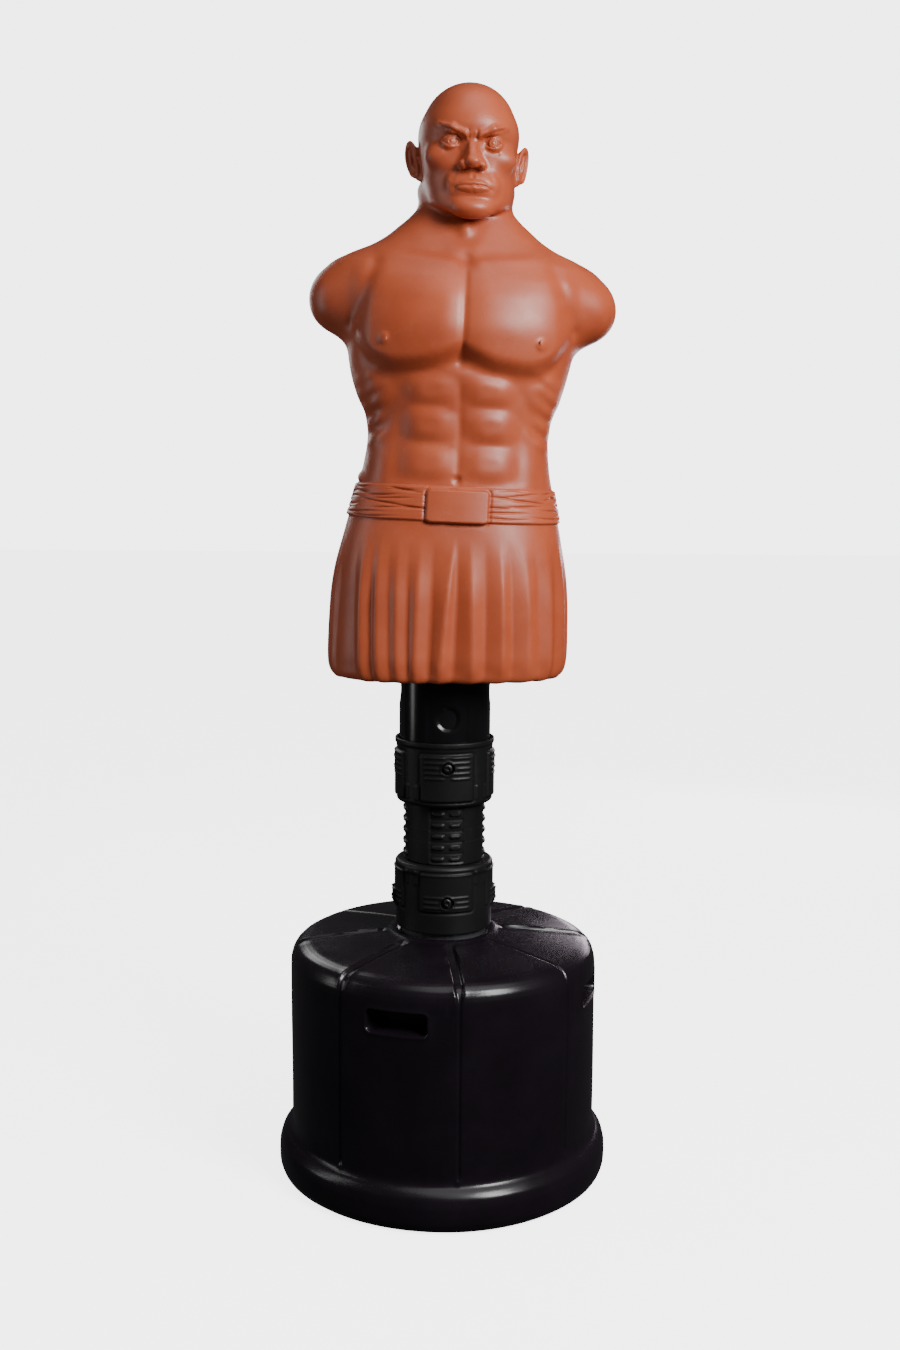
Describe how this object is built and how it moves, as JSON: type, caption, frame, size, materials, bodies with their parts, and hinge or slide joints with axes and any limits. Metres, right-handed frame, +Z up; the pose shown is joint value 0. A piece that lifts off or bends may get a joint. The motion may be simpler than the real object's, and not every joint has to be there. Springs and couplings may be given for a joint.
{
  "type": "body opponent mannequin",
  "caption": "Free-standing punching dummy: foam-filled torso with head on a mast, flexible column and fillable round base.",
  "frame": {"origin": "floor centre of the base, on its flat underside", "axes": "+Z up along the column, -Y the way the figure faces, +X to its left"},
  "size_m": [0.546, 0.546, 1.7503],
  "materials": {
    "skin": "satin",
    "foam": "matte",
    "tank": "satin",
    "rubber": "matte",
    "gloss_black": "gloss",
    "plastic": "matte",
    "steel": "satin"
  },
  "bodies": {
    "base": {"base_tank": "tank", "filler_gasket": "rubber", "column_stem": "plastic", "lower_cuff": "rubber", "neck_lower": "rubber", "spring_seat_lower": "plastic", "column_spring": "steel", "lower_cuff_screw_front": "steel", "lower_cuff_screw_right": "steel", "lower_cuff_screw_rear": "steel", "lower_cuff_screw_left": "steel"},
    "neck_middle": {"neck_ring": "rubber"},
    "column_top": {"neck_upper": "rubber", "upper_cuff": "rubber", "spring_seat_upper": "plastic", "mast_tube": "gloss_black", "mast_top_cap": "plastic", "upper_cuff_bolt_front": "steel", "upper_cuff_bolt_right": "steel", "upper_cuff_bolt_rear": "steel", "upper_cuff_bolt_left": "steel"},
    "torso": {"mannequin_skin": "skin", "foam_core": "foam", "mast_liner": "plastic", "torso_plate": "plastic", "lock_collar": "steel", "height_bolt_front": "steel", "height_bolt_rear": "steel", "torso_plate_screw_1": "steel", "torso_plate_screw_2": "steel", "torso_plate_screw_3": "steel", "torso_plate_screw_4": "steel"},
    "cap": {"filler_cap": "tank"}
  },
  "joints": [
    {"name": "neck_pitch", "type": "hinge", "parent": "base", "child": "neck_middle", "pos_m": [0, 0, 0.572], "axis": [1, 0, 0], "range_deg": [-20, 20], "stiffness_Nm_per_rad": 1400, "deforming": ["neck_lower", "column_spring"]},
    {"name": "neck_roll", "type": "hinge", "parent": "neck_middle", "child": "column_top", "pos_m": [0, 0, 0.572], "axis": [0, 1, 0], "range_deg": [-20, 20], "stiffness_Nm_per_rad": 1400, "deforming": ["neck_upper"]},
    {"name": "height_slide", "type": "slide", "parent": "column_top", "child": "torso", "axis": [0, 0, 1], "range_m": [-0.076, 0.152]},
    {"name": "cap_lift", "type": "slide", "parent": "base", "child": "cap", "axis": [0, 0, 1], "range_m": [0, 0.05]}
  ]
}
